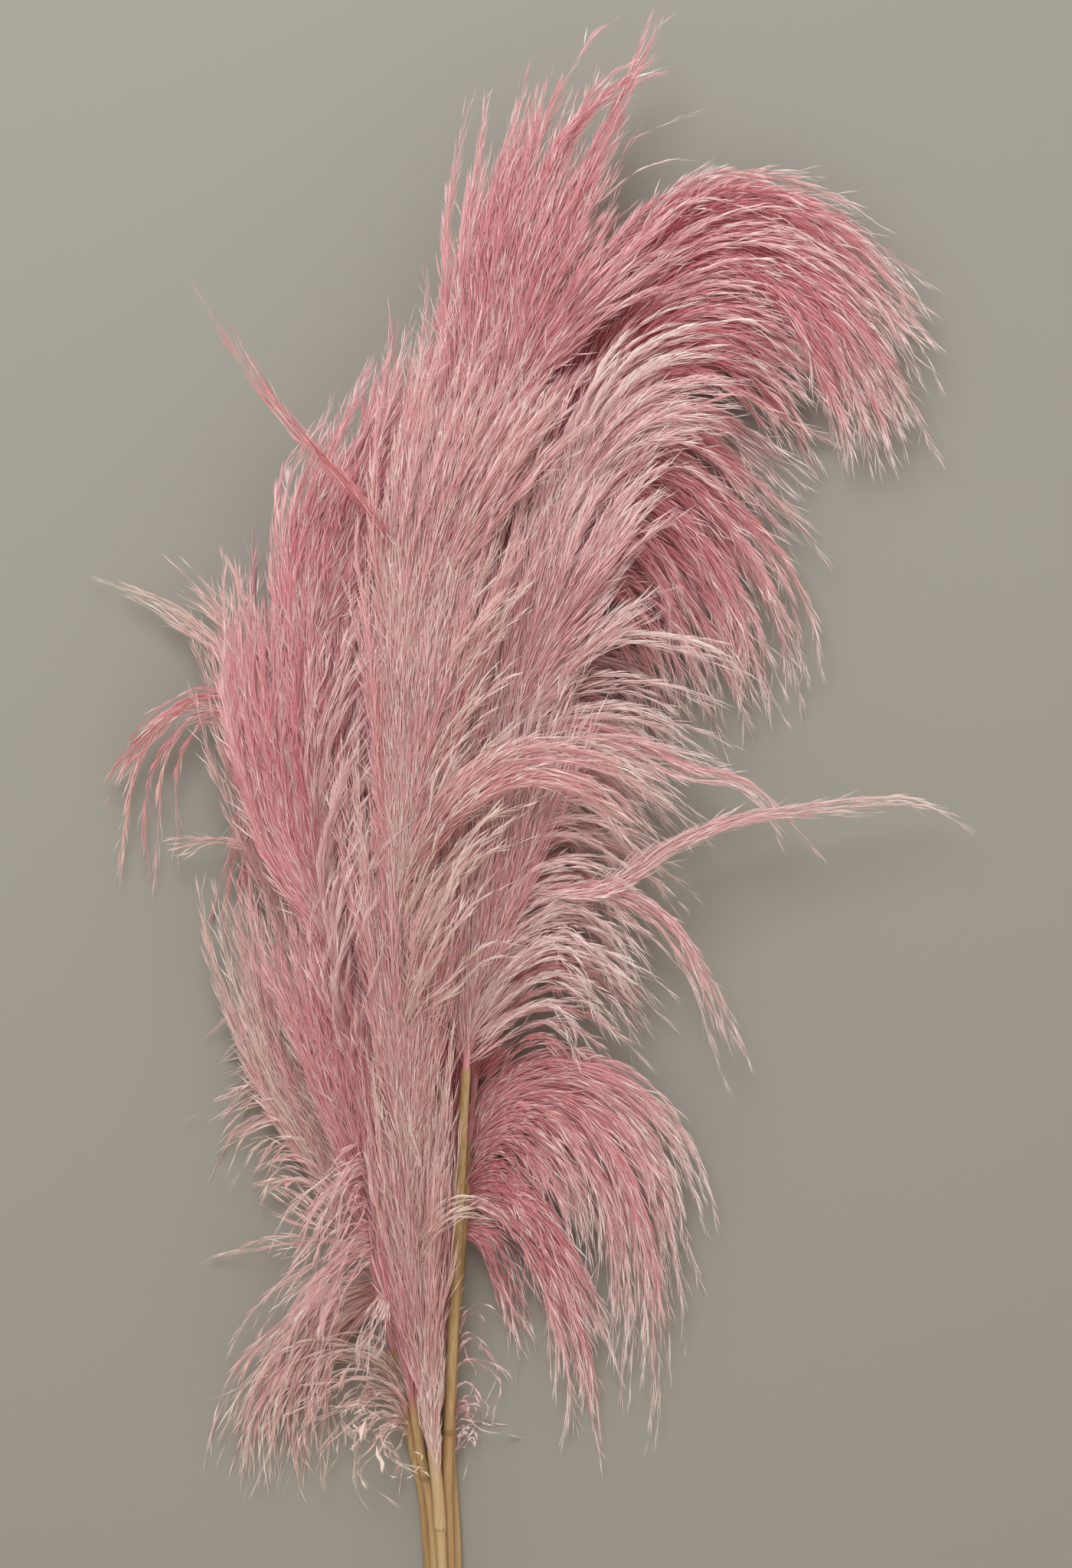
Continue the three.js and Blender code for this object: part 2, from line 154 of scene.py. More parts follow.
leftStem = {
    "name": "left", "slot": "pink_plume", "seed": 13, "parts": 2,
    "culm": [[-47.7, -598, 9.7], [-53.7, -410, 10.1], [-62, -350, 12], [-73, -270, 22]],
    "panicle": [[-89, -182, 40], [-104, -102, 50], [-115, -22, 55], [-120, 50, 57], [-110, 110, 57],
                [-94, 158, 55], [-72, 202, 52]],
    "joints": [104, 230], "browned": 0.1, "look": {"tone": 0.42},
    "fans": [
        layer(18, [22, 34, 44, 48], spread=3, splay=2, late=0.3, bulk=0.6, guides=[
            [[545, 1890], [524, 1780], [504, 1680], [486, 1560], [468, 1440]],
            [[550, 1880], [538, 1780], [528, 1680], [518, 1560], [510, 1440]]]),
        layer(44, [26, 46, 56], spread=4, guides=[
            [[506, 1700], [470, 1540], [430, 1390], [388, 1250], [354, 1120]],
            [[510, 1720], [480, 1560], [450, 1400], [422, 1250], [400, 1110]],
            [[516, 1720], [490, 1560], [470, 1400], [456, 1250], [450, 1120]],
            [[520, 1700], [506, 1560], [496, 1400], [490, 1250], [488, 1120]]]),
        layer(64, [50, 62, 60], spread=4, guides=[
            [[410, 1270], [354, 1130], [330, 1000], [328, 880], [338, 760]],
            [[430, 1250], [390, 1100], [374, 960], [378, 830], [398, 700]],
            [[440, 1250], [424, 1100], [418, 960], [428, 830], [456, 700]],
            [[450, 1240], [458, 1100], [464, 960], [476, 840], [500, 730]],
            [[458, 1270], [488, 1120], [498, 980], [510, 850], [536, 730]]]),
        layer(24, [40, 26, 12, 3], spread=8, bulk=0.9, guides=[
            [[400, 1180], [360, 1040], [346, 900], [356, 780]],
            [[410, 1000], [390, 860], [400, 740], [430, 640]],
            [[430, 880], [450, 760], [490, 650], [540, 540]]]),
        layer(44, [56, 62, 54], spread=4, guides=[
            [[402, 920], [372, 820], [374, 720], [404, 630], [456, 560]],
            [[406, 900], [400, 790], [420, 690], [462, 600], [520, 500]],
            [[412, 880], [434, 780], [462, 680], [504, 590], [560, 470]],
            [[420, 860], [462, 760], [500, 660], [546, 550], [600, 430]]]),
        layer(26, [58, 74, 82], spread=8, splay=14, bulk=0.45, tone=0.3, guides=[
            [[430, 1420], [440, 1340], [462, 1262], [496, 1190]],
            [[420, 1310], [432, 1230], [456, 1150], [492, 1080]],
            [[412, 1200], [426, 1120], [452, 1040], [490, 970]],
            [[406, 1090], [424, 1010], [452, 930], [492, 860]],
            [[400, 990], [424, 900], [456, 830], [498, 770]]]),
        layer(22, [28, 60, 50, 22], spread=6, splay=9, wave=3, bulk=0.34, tone=0.3, guides=[
            [[524, 1640], [470, 1624], [410, 1664], [356, 1720], [306, 1800]],
            [[530, 1670], [476, 1652], [430, 1690], [396, 1762], [368, 1840]],
            [[516, 1570], [474, 1546], [436, 1584], [400, 1650], [364, 1710]],
            [[510, 1500], [478, 1500], [446, 1530], [420, 1590], [400, 1650]]]),
        layer(6, [28, 52, 30], spread=3, bulk=0.3, tone=0.45, guides=[
            [[530, 1690], [500, 1700], [480, 1750], [462, 1812]],
            [[536, 1700], [514, 1706], [500, 1736], [490, 1780]]]),
    ],
}

topStem = {
    "name": "top", "slot": "pink_plume", "seed": 14, "parts": 2,
    "culm": [[-44, -590, 3.4], [-50, -410, 3.5], [-53, -330, 6], [-50, -230, 14]],
    "panicle": [[-44, -110, 24], [-38, 10, 40], [-32, 96, 48], [-25, 160, 50], [-16, 214, 48],
                [-6, 258, 44], [6, 294, 42]],
    "joints": [140], "browned": 0.6, "look": {"tone": 0.4},
    "fans": [
        layer(16, [9, 18, 28], spread=3, splay=1, late=0.5, bulk=0.5, guides=[
            [[566, 1870], [570, 1760], [574, 1640], [578, 1500]],
            [[572, 1880], [580, 1760], [588, 1640], [594, 1500]]]),
        layer(60, [26, 40, 46], spread=9, splay=5, tone=-0.22, guides=[
            [[580, 1560], [550, 1400], [520, 1260], [500, 1120], [492, 980]],
            [[586, 1560], [590, 1400], [596, 1240], [604, 1100], [616, 960]],
            [[586, 1300], [560, 1160], [540, 1020], [520, 880], [506, 760]],
            [[594, 1280], [590, 1120], [592, 980], [600, 840], [612, 700]],
            [[600, 1260], [616, 1100], [628, 960], [644, 820], [664, 690]]]),
        layer(60, [46, 54, 54], spread=5, guides=[
            [[606, 860], [570, 760], [540, 660], [530, 560], [544, 450]],
            [[612, 840], [594, 720], [582, 600], [582, 480], [592, 360]],
            [[618, 820], [622, 690], [632, 570], [650, 450], [676, 340]],
            [[624, 800], [646, 670], [676, 560], [716, 460], [766, 380]],
            [[632, 880], [662, 750], [698, 640], [742, 560], [800, 500]]]),
        layer(60, [50, 56, 50], spread=3, splay=5, guides=[
            [[626, 640], [596, 540], [590, 420], [602, 300], [634, 130]],
            [[632, 620], [618, 500], [624, 380], [646, 260], [684, 116]],
            [[640, 600], [646, 480], [664, 360], [696, 230], [742, 74]],
            [[648, 580], [674, 470], [706, 370], [748, 270], [806, 140]],
            [[656, 560], [700, 470], [746, 390], [800, 320], [856, 260]],
            [[666, 540], [722, 470], [780, 410], [844, 360], [916, 330]]]),
        layer(30, [34, 22, 10, 2], spread=9, bulk=0.9, guides=[
            [[600, 900], [560, 780], [545, 650], [560, 520]],
            [[612, 840], [598, 700], [596, 560], [610, 430]],
            [[632, 660], [630, 520], [644, 380], [670, 260]],
            [[650, 620], [690, 490], [740, 390], [800, 300]]]),
        layer(3, [44, 50, 52, 48], spread=2, splay=1, bulk=0.7, guides=[
            [[730, 420], [744, 310], [770, 220], [806, 140], [840, 60], [872, -12]]]),
        layer(4, [46, 54, 56, 50], spread=3, bulk=0.8, guides=[
            [[690, 330], [706, 220], [744, 140], [800, 80], [846, 54]]]),
    ],
}

archStem = {
    "name": "arch", "slot": "pink_plume", "seed": 15, "parts": 3,
    "culm": [[-36.6, -606, 3.4], [-42.6, -410, 3.5], [-45.5, -350, 4.4], [-41.6, -270, 8], [-35, -190, 14]],
    "panicle": [[-27, -90, 20], [-17, 10, 24], [-3, 106, 27], [13, 180, 29], [34, 236, 30], [62, 270, 30],
                [94, 284, 30], [126, 278, 28], [146, 260, 26]],
    "joints": [110, 312], "browned": 0.8, "look": {"tone": 0.12, "tressTone": 0.05, "tipTone": 1.0},
    "fans": [
        layer(84, [30, 40, 34, 20], spread=5, splay=7, tone=-0.05, guides=[
            [[718, 640], [730, 510], [786, 390], [868, 290], [960, 240], [1050, 252]],
            [[740, 560], [786, 420], [860, 306], [960, 254], [1060, 284], [1150, 360], [1200, 400]],
            [[766, 490], [826, 370], [910, 296], [1010, 296], [1096, 360], [1156, 450], [1206, 490]],
            [[800, 420], [880, 330], [966, 316], [1056, 366], [1120, 440], [1170, 530], [1190, 600]],
            [[870, 350], [950, 330], [1030, 370], [1090, 440], [1136, 530], [1160, 610]]]),
        layer(66, [28, 38, 32, 16], spread=6, tone=-0.1, guides=[
            [[756, 520], [830, 410], [904, 350], [984, 344], [1064, 390], [1120, 460]],
            [[740, 560], [800, 460], [870, 400], [950, 380], [1040, 410], [1110, 470]],
            [[724, 600], [790, 500], [866, 440], [944, 420], [1020, 450], [1090, 510], [1140, 590]],
            [[712, 650], [780, 550], [850, 490], [910, 468], [960, 474]]]),
        layer(56, [27, 40, 30, 8], spread=6, guides=[
            [[704, 690], [770, 580], [846, 520], [920, 530], [1010, 600], [1096, 660]],
            [[694, 740], [756, 630], [826, 570], [900, 590], [970, 650], [1034, 730]],
            [[688, 780], [746, 680], [810, 620], [880, 640], [950, 720], [1000, 820], [1012, 960]],
            [[680, 820], [736, 720], [800, 650], [866, 680], [920, 760], [956, 860], [974, 960]],
            [[672, 880], [726, 780], [784, 710], [836, 720], [886, 790], [930, 880], [966, 970]],
            [[664, 960], [712, 850], [762, 780], [812, 790], [860, 860], [890, 980]]]),
        layer(38, [22, 40, 30, 10], spread=7, splay=14, tone=0.26, guides=[
            [[656, 1010], [704, 920], [756, 880], [812, 900], [860, 960]],
            [[648, 1100], [696, 1010], [750, 980], [806, 1010], [846, 1070]],
            [[642, 1190], [690, 1100], [744, 1070], [800, 1100], [840, 1160]],
            [[634, 1270], [680, 1190], [732, 1160], [784, 1190], [820, 1250]],
            [[628, 1340], [672, 1270], [722, 1240], [770, 1270], [800, 1330]],
            [[620, 1430], [664, 1370], [716, 1346], [770, 1376], [804, 1430]]]),
        layer(42, [18, 32, 22, 6], spread=5, splay=4, bulk=0.7, tone=0.3, guides=[
            [[616, 1490], [654, 1420], [720, 1386], [792, 1406], [852, 1452], [894, 1524], [916, 1616]],
            [[616, 1500], [662, 1444], [730, 1416], [800, 1440], [850, 1492], [884, 1562], [914, 1664]],
            [[614, 1510], [652, 1452], [710, 1426], [766, 1442], [814, 1510], [846, 1600], [862, 1700],
             [866, 1800], [864, 1900]],
            [[612, 1530], [642, 1482], [692, 1454], [736, 1492], [770, 1564], [783, 1630], [776, 1700]],
            [[612, 1540], [640, 1500], [684, 1490], [724, 1540], [752, 1610], [764, 1680]]]),
        layer(34, [16, 24, 14, 1], spread=5, splay=5, bulk=0.66, tone=0.26, guides=[
            [[612, 1540], [634, 1500], [668, 1490], [700, 1530], [716, 1600], [722, 1650]],
            [[610, 1570], [634, 1540], [660, 1546], [684, 1590], [700, 1650]],
            [[608, 1590], [644, 1580], [690, 1606], [720, 1660], [742, 1724], [758, 1790], [768, 1850],
             [770, 1896]],
            [[608, 1580], [650, 1552], [700, 1576], [740, 1650], [768, 1716], [788, 1772]]]),
        layer(9, [7, 12, 8, 1], spread=4, splay=20, wave=5, bulk=0.14, tone=0.4, guides=[
            [[592, 1770], [612, 1724], [632, 1760], [636, 1820]],
            [[588, 1860], [606, 1836], [624, 1850], [634, 1890]],
            [[584, 1920], [600, 1894], [618, 1892], [638, 1912]]]),
        layer(2, [18, 32, 30, 12, 1], spread=2, splay=1, bulk=0.5, tone=0.1, guides=[
            [[614, 1510], [652, 1452], [710, 1426], [766, 1442], [814, 1510], [846, 1600], [862, 1700],
             [868, 1800], [868, 1900], [864, 1980]]]),
        layer(2, [16, 24, 16, 6, 1], spread=2, splay=1, bulk=0.5, guides=[
            [[608, 1590], [644, 1580], [690, 1606], [720, 1660], [742, 1724], [758, 1790], [768, 1850],
             [774, 1920], [776, 1980]]]),
        layer(10, [14, 18, 8, 1], spread=5, bulk=0.3, tone=0.2, guides=[
            [[604, 1630], [630, 1630], [650, 1684], [668, 1744], [690, 1782]],
            [[606, 1610], [650, 1606], [684, 1644], [704, 1710], [716, 1772]]]),
        layer(48, [18, 16, 7, 1], spread=9, bulk=0.9, tone=0.1, guides=[
            [[730, 560], [790, 440], [866, 350], [960, 310], [1040, 340], [1110, 420]],
            [[712, 640], [776, 530], [850, 470], [920, 450], [980, 470]],
            [[690, 770], [750, 660], [816, 610], [880, 640], [940, 720], [976, 820]],
            [[670, 880], [724, 790], [780, 740], [830, 760], [876, 830], [900, 920]],
            [[662, 960], [716, 870], [768, 820], [816, 840], [856, 900], [880, 980]],
            [[650, 1060], [700, 960], [756, 920], [806, 950], [846, 1010]],
            [[622, 1400], [664, 1330], [716, 1300], [770, 1330], [810, 1390]]]),
        layer(6, [26, 44, 46, 34], spread=5, bulk=0.25, tone=0.2, guides=[
            [[760, 500], [820, 370], [880, 272], [950, 222], [1010, 226], [1080, 276], [1150, 356]],
            [[700, 600], [730, 410], [780, 266], [860, 232], [940, 218]]]),
        layer(12, [34, 46, 44, 28], spread=7, bulk=0.35, tone=0.3, guides=[
            [[740, 520], [820, 380], [920, 290], [1030, 270], [1130, 330], [1190, 410]],
            [[760, 480], [840, 380], [940, 330], [1050, 350], [1140, 440], [1180, 560]],
            [[700, 640], [770, 500], [860, 420], [960, 400], [1060, 440], [1120, 540]]]),
    ],
}

outerStem = {
    "name": "outer", "slot": "cream_plume", "seed": 16, "parts": 2,
    "culm": [[-51.4, -600, 3.4], [-57.4, -410, 3.5], [-66, -350, 5], [-76, -300, 7.5]],
    "panicle": [[-90, -245, 10], [-104, -198, 14], [-120, -130, 18], [-132, -62, 21], [-140, 2, 23],
                [-146, 50, 24], [-153, 90, 24], [-160, 114, 22]],
    "joints": [98], "browned": 0.4, "look": {"tone": 0.62},
    "fans": [
        layer(56, [10, 24, 28], spread=5, bulk=0.8, guides=[
            [[470, 1660], [410, 1540], [356, 1420], [330, 1290], [318, 1160]],
            [[480, 1640], [436, 1510], [396, 1380], [370, 1250], [350, 1130]],
            [[490, 1660], [450, 1560], [420, 1470], [400, 1380]]]),
        layer(26, [20, 28, 30], spread=4, tone=-0.1, guides=[
            [[390, 1260], [352, 1120], [332, 1000], [318, 900], [290, 800]],
            [[396, 1240], [366, 1100], [346, 980], [338, 870], [330, 760]]]),
        layer(4, [23, 27, 20, 12], spread=2, splay=2, bulk=0.4, tone=0.1, guides=[
            [[360, 1060], [334, 940], [296, 864], [210, 796], [116, 754]]]),
        layer(6, [24, 28, 22], spread=4, bulk=0.4, guides=[
            [[346, 960], [320, 860], [270, 800], [190, 728]],
            [[350, 940], [330, 840], [300, 780], [280, 730]]]),
        layer(5, [24, 28, 22, 8], spread=2, splay=2, bulk=0.35, tone=-0.34, guides=[
            [[352, 980], [306, 916], [256, 906], [200, 942], [146, 1006], [106, 1070]]]),
        layer(3, [23, 26, 10, 1], spread=3, bulk=0.5, tone=-0.2, guides=[
            [[350, 1000], [270, 930], [222, 954], [190, 1010], [182, 1090], [178, 1180]]]),
        layer(2, [22, 26, 16], spread=1, splay=1, bulk=0.3, guides=[
            [[360, 1140], [304, 1104], [244, 1104], [196, 1118]]]),
        layer(4, [23, 20, 1], spread=3, bulk=0.6, tone=-0.3, guides=[
            [[346, 1040], [326, 1026], [314, 1090], [304, 1160], [306, 1250]]]),
        layer(32, [12, 24, 18, 8], spread=5, bulk=0.35, guides=[
            [[430, 1440], [384, 1340], [334, 1294], [290, 1314], [240, 1386]],
            [[436, 1460], [394, 1384], [350, 1360], [296, 1362]],
            [[440, 1490], [394, 1424], [346, 1398], [306, 1412], [276, 1438]],
            [[446, 1520], [396, 1446], [344, 1430], [300, 1452], [270, 1482]],
            [[452, 1540], [402, 1474], [350, 1462], [300, 1484], [262, 1532]],
            [[460, 1570], [404, 1504], [362, 1494], [336, 1520], [318, 1548]],
            [[466, 1600], [410, 1556], [366, 1546], [336, 1566], [320, 1590]],
            [[474, 1630], [424, 1600], [384, 1566], [352, 1548]],
            [[484, 1650], [430, 1632], [362, 1632], [304, 1646], [268, 1662]]]),
        layer(34, [10, 16, 10, 1], spread=9, splay=10, wave=4, bulk=0.24, guides=[
            [[496, 1680], [420, 1704], [364, 1772], [330, 1860], [318, 1962]],
            [[500, 1700], [440, 1740], [396, 1800], [372, 1880], [364, 1962]]]),
        layer(26, [9, 26, 20, 6], spread=10, splay=30, wave=7, bulk=0.18, tone=0.16, guides=[
            [[520, 1800], [480, 1770], [430, 1776], [396, 1820], [370, 1850]],
            [[528, 1850], [490, 1810], [446, 1816], [412, 1850], [386, 1900]],
            [[534, 1880], [500, 1850], [460, 1850], [430, 1890], [440, 1930]],
            [[540, 1900], [520, 1880], [500, 1900], [504, 1950], [516, 1990]]]),
    ],
}

stems = [centreStem, rightStem, leftStem, topStem, archStem, outerStem]


# A socket that sums are written on: each operator adds the Math node of its own name.
class Wire:
    def __init__(self, finish, socket):
        self.finish = finish
        self.socket = socket

    def out(self, name):
        return Wire(self.finish, self.socket.node.outputs[name])

    def __add__(self, other):
        return self.finish.node("Math", {"operation": "ADD"}, {0: self, 1: other})

    def __sub__(self, other):
        return self.finish.node("Math", {"operation": "SUBTRACT"}, {0: self, 1: other})

    def __rsub__(self, other):
        return self.finish.node("Math", {"operation": "SUBTRACT"}, {0: other, 1: self})

    def __mul__(self, other):
        return self.finish.node("Math", {"operation": "MULTIPLY"}, {0: self, 1: other})

    __radd__ = __add__
    __rmul__ = __mul__


class Finish:
    def __init__(self, name):
        self.material = bpy.data.materials.new(name)
        self.material.use_nodes = True
        self.tree = self.material.node_tree
        self.shader = self.tree.nodes["Principled BSDF"]

    # Makes a node of any type: its settings first, then the values or links of its sockets.
    def node(self, kind, settings, inputs, output=0):
        made = self.tree.nodes.new("ShaderNode" + kind)
        for key, value in settings.items():
            if key == "stops":
                self.setStops(made.color_ramp.elements, value)
            else:
                setattr(made, key, value)
        for key, value in inputs.items():
            self.join(made.inputs[key], value)
        return Wire(self, made.outputs[output])

    def setStops(self, elements, stops):
        while len(elements) < len(stops):
            elements.new(0.5)
        for element, (position, colour) in zip(elements, stops):
            element.position = position
            element.color = colour

    # A wire is linked to a socket, and a plain value is set on it.
    def join(self, socket, value):
        if isinstance(value, Wire):
            self.tree.links.new(value.socket, socket)
        else:
            socket.default_value = value

    def ramp(self, factor, stops):
        return self.node("ValToRGB", {"stops": stops}, {"Fac": factor})

    def mixed(self, blend, factor, first, second):
        settings = {"data_type": "RGBA", "blend_type": blend}
        return self.node("Mix", settings, {0: factor, 6: first, 7: second}, output=2)

    # Noise over the object's own coordinates, stretch times as fine along each axis.
    def noise(self, stretch, detail):
        place = self.node("TexCoord", {}, {}, output="Object")
        spot = self.node("Mapping", {}, {"Vector": place, "Scale": stretch})
        return self.node("TexNoise", {}, {"Vector": spot, "Scale": 1.0, "Detail": detail})

    def set(self, **sockets):
        for name, value in sockets.items():
            self.join(self.shader.inputs[name.replace("_", " ")], value)
        return self.material


def paint(red, green, blue):
    # A screen colour of 0 to 255 as light: the power law of sRGB, with its straight start.
    shares = [channel / 255 for channel in (red, green, blue)]
    light = [s / 12.92 if s < 0.04045 else ((s + 0.055) / 1.055) ** 2.4 for s in shares]
    return (*light, 1.0)


def placed(points):
    # Millimetres of the stems' drawing as metres about the part's origin.
    return (np.array(points, float) - bunchMiddle) * mm


def onSheet(points):
    # Steps of the sheet as metres about the part's origin, on the surface.
    across, down = np.array(points, float).T
    x = (across - sheet["middle"][0]) * sheet["step"]
    y = (sheet["middle"][1] - down) * sheet["step"]
    return np.stack([x, y, np.zeros(len(x))], 1) * mm


def unit(vectors):
    # Each vector over its length.
    return vectors / np.linalg.norm(vectors, axis=-1, keepdims=True)


def lerp(first, second, share):
    # The first where the share is 0, the second where it is 1, a straight mix between.
    return first + (second - first) * share


def curveThrough(points, count):
    # A Catmull-Rom curve: on each stretch a cubic that passes its two points, where its slope is half
    # the way from the point before to the point after. The ends are drawn on straight.
    ends = 2 * points[:1] - points[1:2], 2 * points[-1:] - points[-2:-1]
    known = np.concatenate([ends[0], points, ends[1]])
    along = np.linspace(0, len(points) - 1, count)
    start = np.minimum(along.astype(int), len(points) - 2)
    t = (along - start)[:, None]
    before, here, after, beyond = (known[start + i] for i in range(4))
    return 0.5 * (2 * here + (after - before) * t
                  + (2 * before - 5 * here + 4 * after - beyond) * t ** 2
                  + (3 * here - before - 3 * after + beyond) * t ** 3)


def distances(points):
    # How far along a line each of its points is.
    steps = np.linalg.norm(np.diff(points, axis=0), axis=1)
    return np.concatenate([[0], np.cumsum(steps)])


def evenly(points, shares):
    # Points at the given shares of a line's length.
    reached = distances(points)
    return np.stack([np.interp(shares * reached[-1], reached, points[:, i]) for i in range(3)], axis=1)


def lineLength(lines):
    # The sum of the lengths of a line's steps.
    return np.linalg.norm(np.diff(lines, axis=-2), axis=-1).sum(axis=-1)


def tangentsOf(lines):
    # The heading at each point, from the one before to the one after.
    return unit(np.gradient(lines, axis=-2))


def sampled(lines, which, shares):
    # The point at a share of its stations on each of the lines named, between the two stations there.
    last = lines.shape[1] - 1
    spot = np.clip(shares, 0, 1) * last
    start = np.minimum(spot.astype(int), last - 1)
    part = (spot - start)[:, None]
    return lerp(lines[which, start], lines[which, start + 1], part)


def tubeFaces(count, rings, sides):
    # Triangles of as many tubes as count says, whose points are ring by ring, then the two poles.
    ring, side = np.meshgrid(np.arange(rings - 1), np.arange(sides), indexing="ij")
    a = (ring * sides + side).ravel()
    b = (ring * sides + (side + 1) % sides).ravel()
    walls = np.concatenate([np.stack([b, a, b + sides], 1), np.stack([b + sides, a, a + sides], 1)])
    one = np.arange(sides)
    two = (one + 1) % sides
    top = (rings - 1) * sides
    poles = rings * sides + np.zeros(sides, int)
    caps = np.concatenate([np.stack([one, two, poles], 1),
                           np.stack([top + two, top + one, poles + 1], 1)])
    each = np.concatenate([walls, caps])
    offsets = np.arange(count) * (rings * sides + 2)
    return (each[None] + offsets[:, None, None]).reshape(-1, 3)


def tubes(lines, tangent, radii):
    # Rings round each line: centre + radius (side cos a + rise sin a), where side is level and rise is
    # square to it and to the line. A pole closes each end. Radii are by line, ring and side.
    count, rings, sides = radii.shape
    side = unit(np.cross(tangent, upward))
    rise = np.cross(side, tangent)
    angle = np.arange(sides) * 2 * np.pi / sides
    outward = side[:, :, None] * np.cos(angle)[:, None] + rise[:, :, None] * np.sin(angle)[:, None]
    wall = lines[:, :, None] + outward * radii[..., None]
    points = np.concatenate([wall.reshape(count, -1, 3), lines[:, :1], lines[:, -1:]], axis=1)
    return points.reshape(-1, 3), tubeFaces(count, rings, sides)


def makePiece(name, points, triangles, material, uv=None, smooth=True, marks=None):
    # A mesh of triangles that rides on the bunch. Marks are numbers by point, for its material.
    mesh = bpy.data.meshes.new(name)
    mesh.vertices.add(len(points))
    mesh.vertices.foreach_set("co", points.astype(np.float32).ravel())
    mesh.loops.add(triangles.size)
    mesh.loops.foreach_set("vertex_index", triangles.astype(np.int32).ravel())
    mesh.polygons.add(len(triangles))
    mesh.polygons.foreach_set("loop_start", np.arange(0, triangles.size, 3, dtype=np.int32))
    mesh.update(calc_edges=True)
    mesh.polygons.foreach_set("use_smooth", np.full(len(triangles), smooth))
    if uv is not None:
        uvMap = mesh.uv_layers.new(name="OFBake")
        uvMap.uv.foreach_set("vector", uv[triangles.ravel()].astype(np.float32).ravel())
    for mark, values in (marks or {}).items():
        mesh.attributes.new(mark, "FLOAT", "POINT").data.foreach_set("value", values.astype(np.float32))
    mesh.materials.append(material)
    piece = bpy.data.objects.new(name, mesh)
    scene.collection.objects.link(piece)
    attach(piece, "root")
    print(f"{name}: {len(triangles)} triangles")
    return piece


def stemLines(stem):
    # One smooth curve runs through culm and panicle; the neck is the last point of the culm.
    detail = 600
    whole = curveThrough(placed(stem["culm"] + stem["panicle"]), detail)
    neck = (len(stem["culm"]) - 1) / (len(stem["culm"]) + len(stem["panicle"]) - 1)
    split = int(round(neck * (detail - 1)))
    return whole, whole[:split + 1], whole[split:]


tress = {
    "stations": 24,
    "guideStations": 80,   # to which a guide's curve is worked out
    "more": 2.0,           # tresses grown for each one that a fan counts
    "bulk": 0.6,           # how full of fluff each of them is
    "shortest": 0.72,      # share of its guide's length that a tress has at least
    "late": 0.1,           # share of its guide's length after which it starts at most
    "spread": 4,           # mm, how far tresses stand from their guide, as a standard deviation
    "depth": 0.9,          # the same off the surface, as a share of the spread
    "splay": 9,            # degrees, how far they turn aside from it at most
    "jitter": 0.25,        # how unevenly they stand, in gaps between guides
    "rootShare": 0.3,      # how much of its stray a tress has at its root
    "pull": 3,             # how soon the pull to the stem fades, as a power
    "wave": 2.2,           # mm, how far a tress sways from its plain curve
    "beats": (0.7, 1.6),   # waves on its length
    "waveLift": 0.6,       # of that, what goes up and down
    "rootRadius": 0.5,     # mm
    "tipRadius": 0.14,
    "sides": 3,
    "branchStep": 3,       # a branch's tube has a ring at each third station
}

# What all hairs share, then the fluff of a tress and the husks among it, paler partly in their own straw
# colour and partly as painted glints.
hairForm = {
    "fewest": 4,           # hairs on a tress, however short
    "crowding": 1.45,      # how much denser they stand near the root of a tress
    "narrowing": 0.8,      # how a tress's fluff narrows towards its tip, as a power
    "leans": (0.2, 1.7),   # least and most, as shares of the plain value
    "lengths": (0.6, 1.3),
    "widths": (0.6, 1.4),
    "ahead": 0.7,          # share of a hair's length ahead, where its tip takes its direction
    "fold": 0.18,          # depth of its fold, as a share of its length times its turn
    "edges": [0, -1, 1, 0],  # to which side its root, two edges and tip are
    "faces": [[0, 2, 1], [0, 1, 3], [1, 2, 3], [2, 0, 3]],
}

# Where all lies on the UV map: u runs from root to tip, v is the tone.
chart = {
    "hair": (0.02, 0.5, 0.5, 0.98),  # u of its root, two edges and tip
    "branch": (0.02, 0.6),           # u of its ends
    "rachis": 0.3,
    "edge": 0.004,                   # how far apart in v the points round a hair or branch are
    "margin": 0.02,
}

fluff = {
    "perMetre": 1500,
    "length": 23,          # mm
    "tipShare": 0.55,      # share of that length at a tress's tip
    "radius": 0.15,        # mm, half its width
    "lean": 12,            # degrees
    "curl": 0.5,           # what is left of the lean at a hair's tip
    "bulk": 4.2,           # mm, how far from its tress's middle line a hair may start
    "deepest": 0.35,       # mm, how deep its fold may be: hairs are shorter on hard bends
    "tone": 0.0,           # added to its tress's tone
}

huskAndGlint = {
    "perMetre": 210,
    "length": 19,
    "tipShare": 0.7,
    "radius": 0.2,
    "lean": 32,
    "curl": 0.9,
    "bulk": 5.0,
    "deepest": 0.35,
    # paler tone: partly the husks' own colour, partly painted highlight
    "tone": 0.5,
}

landing = {"lowest": 0.3, "soft": 2.5}  # mm, the lowest height, and where the squeeze towards it starts


